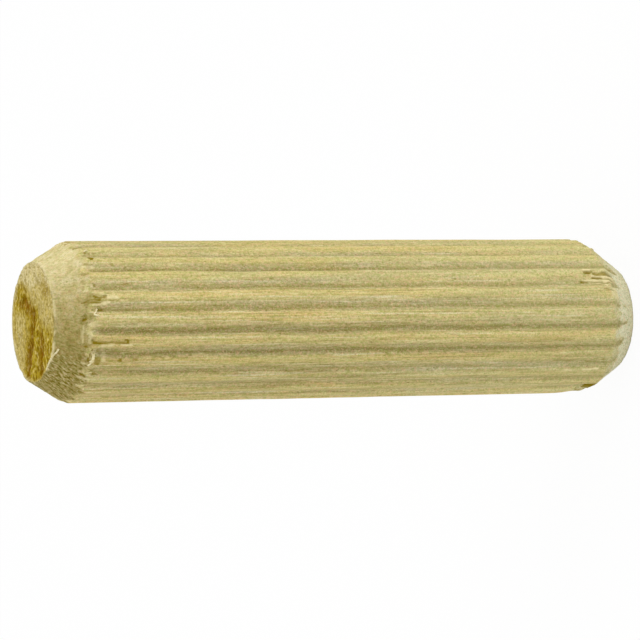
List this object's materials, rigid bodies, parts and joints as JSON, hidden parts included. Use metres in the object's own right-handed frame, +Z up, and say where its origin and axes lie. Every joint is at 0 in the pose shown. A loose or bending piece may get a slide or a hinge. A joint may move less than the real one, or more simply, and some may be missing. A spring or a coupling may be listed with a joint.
{
  "type": "fluted dowel pin",
  "caption": "Short wooden dowel pin with straight flutes along its shank and a tapered chamfer at each end, for gluing two boards together.",
  "frame": {"origin": "on the pin's axis, in the plane of the bottom end face that it stands on", "axes": "+Z up along the pin, from the bottom end with the longer chamfer to the top end with the shorter one; -Y is the front, and a flute faces it squarely"},
  "size_m": [0.01, 0.01, 0.04],
  "materials": {
    "hardwood": "bare pale hardwood, machined flutes, unsanded, satin on the lands and torn on the end grain"
  },
  "bodies": {
    "root": {"dowel_pin": "hardwood"}
  },
  "joints": []
}
